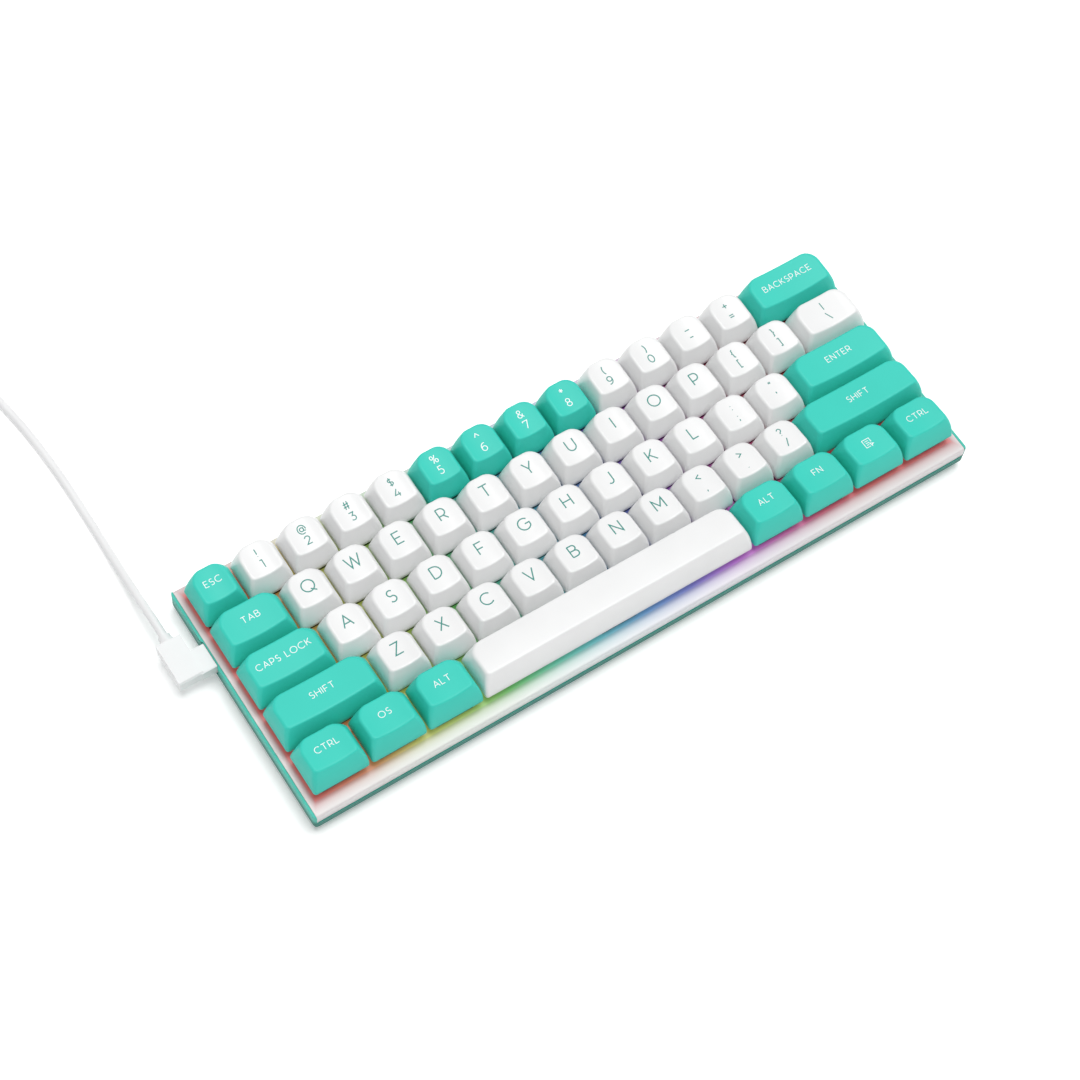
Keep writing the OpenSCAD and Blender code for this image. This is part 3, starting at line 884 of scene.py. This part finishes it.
def add_key(row, left, legend, width, body, name):
    cap = Keycap(row, width)
    x, y = key_place(row, left, width)
    teal = is_teal(body, name)
    material = teal_plastic if teal else white_plastic
    shell = keycap_mesh(cap)
    reaches = [0, -stabilizer_reach(width), stabilizer_reach(width)] if width >= 2 else [0]
    post = tube(CAP_POST_BOTTOM, cap.height - CAP_TOP + 0.2, CAP_POST_DIAMETER)
    posts = [moved(post, r, 0, 0) for r in reaches]
    vertices, faces = moved(merge([shell, *posts]), x, y, CAP_BOTTOM)
    piece = mesh_piece("cap_" + name, vertices, faces, material, body)
    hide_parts(body)
    vertices, faces = moved(merge(switch_stem_shapes()), x, y, 0)
    mesh_piece("stem_" + name, vertices, faces, blue_plastic, body, smooth=False)
    stabilizer_stem = stem_shapes(*STABILIZER_STEM_SIZE, STABILIZER_STEM_BOTTOM)
    for side, reach in zip(("left", "right"), reaches[1:]):
        vertices, faces = moved(merge(stabilizer_stem), x + reach, y, 0)
        full_name = f"stabilizer_stem_{name}_{side}"
        mesh_piece(full_name, vertices, faces, black_plastic, body, smooth=False)
    if legend:
        strokes, stroke_width = legend_strokes(legend)
        if teal:
            stroke_width *= WHITE_INK_SHARE
        vertices, faces = moved(legend_mesh(cap, strokes, stroke_width), x, y, CAP_BOTTOM)
        ink = white_ink if teal else teal_ink
        mesh_piece("legend_" + name, vertices, faces, ink, body, smooth=False)


def add_keys():
    for row, keys in enumerate(KEY_ROWS):
        left = 0
        for legend, width, body, name in keys:
            add_key(row, left, legend, width, body, name)
            left += width


# ---------------------------------------------------------------- lead

LEAD_DIAMETER = 3.4
LEAD_ROUTE = [
    (-156, 38.9, 9), (-156, 44, 9), (-156, 50, 8.7), (-156, 57, 7.7),
    (-155.9, 64, 6.3), (-155.7, 72, 4.8), (-155.5, 80, 3.5), (-155.3, 88, 2.5),
    (-155.2, 96, 1.9), (-155.2, 104, 1.7), (-155.3, 116, 1.7), (-155.8, 128, 1.7),
    (-156.7, 140, 1.7), (-158, 151, 1.7), (-159.8, 162, 1.7), (-162, 173, 1.7),
    (-164.4, 184, 1.7), (-166.4, 193, 1.7),
]
TAIL_ROUTE = [
    (-212.1, 197, 11.9), (-212.1, 192, 11.5), (-212.1, 187, 10.2), (-212.1, 182, 8),
    (-212.1, 177, 5.8), (-212.1, 172, 4.5), (-212.1, 168, 4.2),
]
COIL_CENTRE = (-190, 200)
COIL_RADIUS = 5.5 * LEAD_DIAMETER
COIL_START = 10
STEPS_PER_TURN = 20
# Strand of each turn, from the middle one: -1 inside, 1 outside
TURN_STRANDS = [1, 0, -1, -1, 0, 1, 1, 0, -1, -1, 0, 1]
TURNS_PER_LAYER = 3
# Share of a turn that it takes to change strand or layer
CHANGE_SHARE = 0.2
LAST_TURN_SHARE = 170 / 360


def smooth_step(share):
    share = min(max(share, 0), 1)
    return share * share * (3 - 2 * share)


def coil_points():
    """The coil's centreline: a turn shifts sideways at its end, and climbs at its start."""
    points = []
    total = len(TURN_STRANDS) - 1 + LAST_TURN_SHARE
    steps = round(total * STEPS_PER_TURN)
    for step in range(steps + 1):
        progress = total * step / steps
        turn = min(int(progress), len(TURN_STRANDS) - 1)
        share = progress - turn
        strand = TURN_STRANDS[turn]
        after = TURN_STRANDS[min(turn + 1, len(TURN_STRANDS) - 1)]
        strand += (after - strand) * smooth_step((share - 1 + CHANGE_SHARE) / CHANGE_SHARE)
        layer = turn // TURNS_PER_LAYER
        climbing = turn % TURNS_PER_LAYER == 0 and turn > 0
        if climbing:
            layer -= 1 - smooth_step(share / CHANGE_SHARE)
        angle = math.radians(COIL_START) + 2 * math.pi * progress
        radius = COIL_RADIUS + strand * LEAD_DIAMETER
        points.append(
            (
                COIL_CENTRE[0] + radius * math.cos(angle),
                COIL_CENTRE[1] + radius * math.sin(angle),
                LEAD_DIAMETER * (layer + 0.5),
            )
        )
    return points


def add_lead():
    curve = bpy.data.curves.new("lead", "CURVE")
    curve.dimensions = "3D"
    curve.bevel_depth = LEAD_DIAMETER / 2 * MM
    curve.bevel_resolution = 4
    curve.resolution_u = 4
    curve.use_fill_caps = True
    path = LEAD_ROUTE + coil_points() + TAIL_ROUTE
    spline = curve.splines.new("BEZIER")
    spline.bezier_points.add(len(path) - 1)
    for knot, place in zip(spline.bezier_points, path):
        knot.co = point(*place)
        knot.handle_left_type = knot.handle_right_type = "AUTO"
    curve.materials.append(lead_plastic)
    lead = bpy.data.objects.new("lead", curve)
    bpy.context.scene.collection.objects.link(lead)
    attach(lead, MAIN_BODY)
    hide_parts("lead_cable", "lead_coil")


add_lead()
add_keys()

# ---------------------------------------------------------------- case, cover and small parts

# Painted shade low on the case: its colour, the height below which it is full, and the height over
# which it fades, in millimetres
PAINTED_SHADE_TEAL = (0.02, 0.19, 0.15)
PAINTED_SHADE_TOP, PAINTED_SHADE_FADE = 7.0, 2.5
# Painted shade, painted backlight colour and a painted glow in the gaps on the cover near the keys;
# then the LEDs' own light
SHADED_WHITE = (0.55, 0.55, 0.56)
GLOW_REACH = 2.6
SIDE_GLOW_FALLOFF = 1.8
GLOW_TINT = 0.7
GAP_EMISSION, GAP_SHARPNESS = 0.3, 8.0
LED_EMISSION = 6


def glow_share(material, separate):
    """Share of the cover's painted shade and painted backlight glow: 1 under the keys, falling off
    outwards over the cover's edges.
    """
    middle_y = (FIELD_FRONT + FIELD_BACK) / 2 * MM
    from_middle = arithmetic(material, "SUBTRACT", separate.outputs["Y"], middle_y)
    outside = []
    for value, size in ((separate.outputs["X"], FIELD_WIDTH), (from_middle, FIELD_DEPTH)):
        distance = arithmetic(material, "ABSOLUTE", value)
        outside.append(arithmetic(material, "SUBTRACT", distance, (size - KEY_GAP) / 2 * MM))
    sideways = arithmetic(material, "MULTIPLY", outside[0], SIDE_GLOW_FALLOFF)
    farthest = arithmetic(material, "MAXIMUM", sideways, outside[1])
    farthest = arithmetic(material, "MAXIMUM", farthest, 0.0)
    exponent = arithmetic(material, "DIVIDE", farthest, -GLOW_REACH * MM)
    return arithmetic(material, "EXPONENT", exponent)


def mixed_colour(material, factor, first, second):
    """A mix of two colours, each a plain colour or another node's output."""
    mix = add_node(material, "ShaderNodeMix")
    mix.data_type = "RGBA"
    link(material, factor, mix.inputs["Factor"])
    for name, colour in (("A", first), ("B", second)):
        if isinstance(colour, tuple):
            mix.inputs[name].default_value = (*colour, 1)
        else:
            link(material, colour, mix.inputs[name])
    return mix.outputs["Result"]


def case_material():
    """Teal plastic with painted shade: darker low down, where the case turns under."""
    material, shader = new_material("case_teal", CASE_TEAL, 0.5, specular=0.25)
    separate = add_node(material, "ShaderNodeSeparateXYZ")
    link(material, position(material), separate.inputs[0])
    above = arithmetic(material, "SUBTRACT", separate.outputs["Z"], PAINTED_SHADE_TOP * MM)
    share = arithmetic(material, "DIVIDE", above, PAINTED_SHADE_FADE * MM, clamp=True)
    painted_shade_colour = mixed_colour(material, share, PAINTED_SHADE_TEAL, CASE_TEAL)
    link(material, painted_shade_colour, shader.inputs["Base Color"])
    add_grain(material, shader, PLASTIC_GRAIN, 0.12)
    return material


def cover_material():
    """White plastic with painted shade and painted backlight colour, most of all close to the keys,
    and a painted glow in the gaps between them.
    """
    material, shader = new_material("cover_white", WHITE, 0.35, coat=0.1)
    hue, separate = add_hue(material)
    glow = glow_share(material, separate)
    shade = arithmetic(material, "SQRT", glow)
    shaded = mixed_colour(material, shade, WHITE, SHADED_WHITE)
    painted_glow_share = arithmetic(material, "MULTIPLY", glow, GLOW_TINT)
    link(material, mixed_colour(material, painted_glow_share, shaded, hue), shader.inputs["Base Color"])
    link(material, hue, shader.inputs["Emission Color"])
    # Painted glow: the cover itself glows in the gaps between the keys
    in_gaps = arithmetic(material, "POWER", glow, GAP_SHARPNESS)
    strength = arithmetic(material, "MULTIPLY", in_gaps, GAP_EMISSION)
    link(material, strength, shader.inputs["Emission Strength"])
    add_grain(material, shader, COVER_GRAIN, 0.05)
    return material


def led_material():
    material, shader = new_material("led_lens", (0.9, 0.9, 0.9), 0.2)
    hue, _ = add_hue(material)
    link(material, hue, shader.inputs["Emission Color"])
    shader.inputs["Emission Strength"].default_value = LED_EMISSION
    return material


def board_material():
    """Dark solder mask with a faint pattern of tracks."""
    material, shader = new_material("board_laminate", (0.01, 0.03, 0.025), 0.3, coat=0.4)
    tracks = add_node(material, "ShaderNodeTexBrick", Scale=TRACK_SCALE, Mortar_Size=0.03)
    tracks.inputs["Color1"].default_value = (0.008, 0.026, 0.022, 1)
    tracks.inputs["Color2"].default_value = (0.012, 0.034, 0.028, 1)
    tracks.inputs["Mortar"].default_value = (0.03, 0.08, 0.06, 1)
    link(material, position(material), tracks.inputs["Vector"])
    link(material, tracks.outputs["Color"], shader.inputs["Base Color"])
    add_grain(material, shader, BOARD_GRAIN, 0.1)
    return material


NODE_MATERIALS = {
    "bottom_case": case_material(),
    "top_cover": cover_material(),
    "circuit_board": board_material(),
    "controller_chip": chip_plastic,
    "switch_leds": led_material(),
    "switch_lower_housings": black_plastic,
    "switch_upper_housings": milky_plastic,
    "switch_contacts": brass,
    "stabilizer_housings": black_plastic,
    "stabilizer_wires": steel,
    "usb_socket": steel,
    "case_screws": black_steel,
    "rubber_feet": foot_rubber,
    "lead_plug": lead_plastic,
    "lead_end_plug": lead_plastic,
}
# Place along Y where the far plug's metal shell ends and its body begins
END_PLUG_BODY_FRONT = 125.9
# How widely the edges of some CAD nodes are rounded
EDGE_WIDTHS = {
    "bottom_case": 0.18,
    "top_cover": 0.12,
    "lead_plug": 0.9,
    "lead_end_plug": 0.5,
    "rubber_feet": 0.3,
}


def add_steel_shell():
    """The far plug's metal shell, the narrow end of its CAD node."""
    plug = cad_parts["lead_end_plug"]
    plug.data.materials.append(steel)
    steel_slot = len(plug.data.materials) - 1
    for polygon in plug.data.polygons:
        centre = plug.matrix_world @ polygon.center
        if centre.y < END_PLUG_BODY_FRONT * MM:
            polygon.material_index = steel_slot


def dress_nodes():
    for name, material in NODE_MATERIALS.items():
        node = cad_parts[name]
        for material_slot in node.material_slots:
            material_slot.material = material
    add_steel_shell()
    for name, width in EDGE_WIDTHS.items():
        soften(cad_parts[name], width)


dress_nodes()

# ---------------------------------------------------------------- springs

SPRING_BOTTOM, SPRING_TOP = 8.75, 15.85
SPRING_TURNS, SPRING_WIRE, SPRING_MEAN_RADIUS = 9, 0.3, 1.85
SPRING_STEPS_PER_TURN = 12


def spring_shape():
    """A wound compression spring whose turns lie closer together towards its ends."""
    sides = 6
    steps = SPRING_TURNS * SPRING_STEPS_PER_TURN
    radius = SPRING_WIRE / 2
    rings = []
    for step in range(steps + 1):
        angle = 2 * math.pi * step / SPRING_STEPS_PER_TURN
        climb = (SPRING_TOP - SPRING_BOTTOM - SPRING_WIRE) * smooth_step(step / steps)
        height = SPRING_BOTTOM + radius + climb
        outward = Vector((math.cos(angle), math.sin(angle), 0))
        ring = []
        for k in range(sides):
            turn = 2 * math.pi * k / sides
            reach = SPRING_MEAN_RADIUS + radius * math.cos(turn)
            ring.append(outward * reach + Vector((0, 0, height + radius * math.sin(turn))))
        rings.append(ring)
    vertices, faces = loft(rings)
    faces.append(tuple(range(sides)))
    faces.append(tuple(reversed(range(steps * sides, (steps + 1) * sides))))
    return vertices, faces


def add_springs():
    """Coil springs in place of the CAD's plain sleeves, one piece for the keys of each key body, fixed
    to the case.
    """
    spring = spring_shape()
    by_body = {}
    for row, keys in enumerate(KEY_ROWS):
        left = 0
        for _, width, body, _ in keys:
            x, y = key_place(row, left, width)
            by_body.setdefault(body, []).append(moved(spring, x, y, 0))
            left += width
    for body, shapes in by_body.items():
        name = body.replace("key_", "", 1)
        vertices, faces = merge(shapes)
        piece = mesh_piece("spring_" + name, vertices, faces, steel, MAIN_BODY)
        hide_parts("switch_springs")
        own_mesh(piece)


add_springs()

# ---------------------------------------------------------------- floor and light


FLOOR_REACH = 20000
FLOOR_EMISSION, WORLD_STRENGTH = 0.26, 0.32
SUN_DIRECTION, SUN_STRENGTH, SUN_SPREAD = (0.15, 0.05, 1), 2.4, 40


def add_floor():
    reach = FLOOR_REACH
    corners = [(-reach, -reach, 0), (reach, -reach, 0), (reach, reach, 0), (-reach, reach, 0)]
    mesh = bpy.data.meshes.new("floor")
    mesh.from_pydata([point(*c) for c in corners], [], [(0, 1, 2, 3)])
    floor = bpy.data.objects.new("floor", mesh)
    material, shader = new_material("floor_white", (0.93, 0.93, 0.93), 0.9)
    shader.inputs["Emission Color"].default_value = (1, 1, 1, 1)
    shader.inputs["Emission Strength"].default_value = FLOOR_EMISSION
    mesh.materials.append(material)
    bpy.context.scene.collection.objects.link(floor)


def add_sun(direction, strength, spread):
    """A broad, even light that shines from the given direction."""
    data = bpy.data.lights.new("overhead_light", "SUN")
    data.energy = strength
    data.angle = math.radians(spread)
    light = bpy.data.objects.new("overhead_light", data)
    light.location = Vector(direction)
    light.rotation_mode = "QUATERNION"
    light.rotation_quaternion = Vector(direction).to_track_quat("Z", "Y")
    bpy.context.scene.collection.objects.link(light)


def add_lights():
    world = bpy.data.worlds.new("studio")
    world.use_nodes = True
    background = world.node_tree.nodes["Background"]
    background.inputs["Color"].default_value = (1, 1, 1, 1)
    background.inputs["Strength"].default_value = WORLD_STRENGTH
    bpy.context.scene.world = world
    add_sun(SUN_DIRECTION, SUN_STRENGTH, SUN_SPREAD)


add_floor()
add_lights()
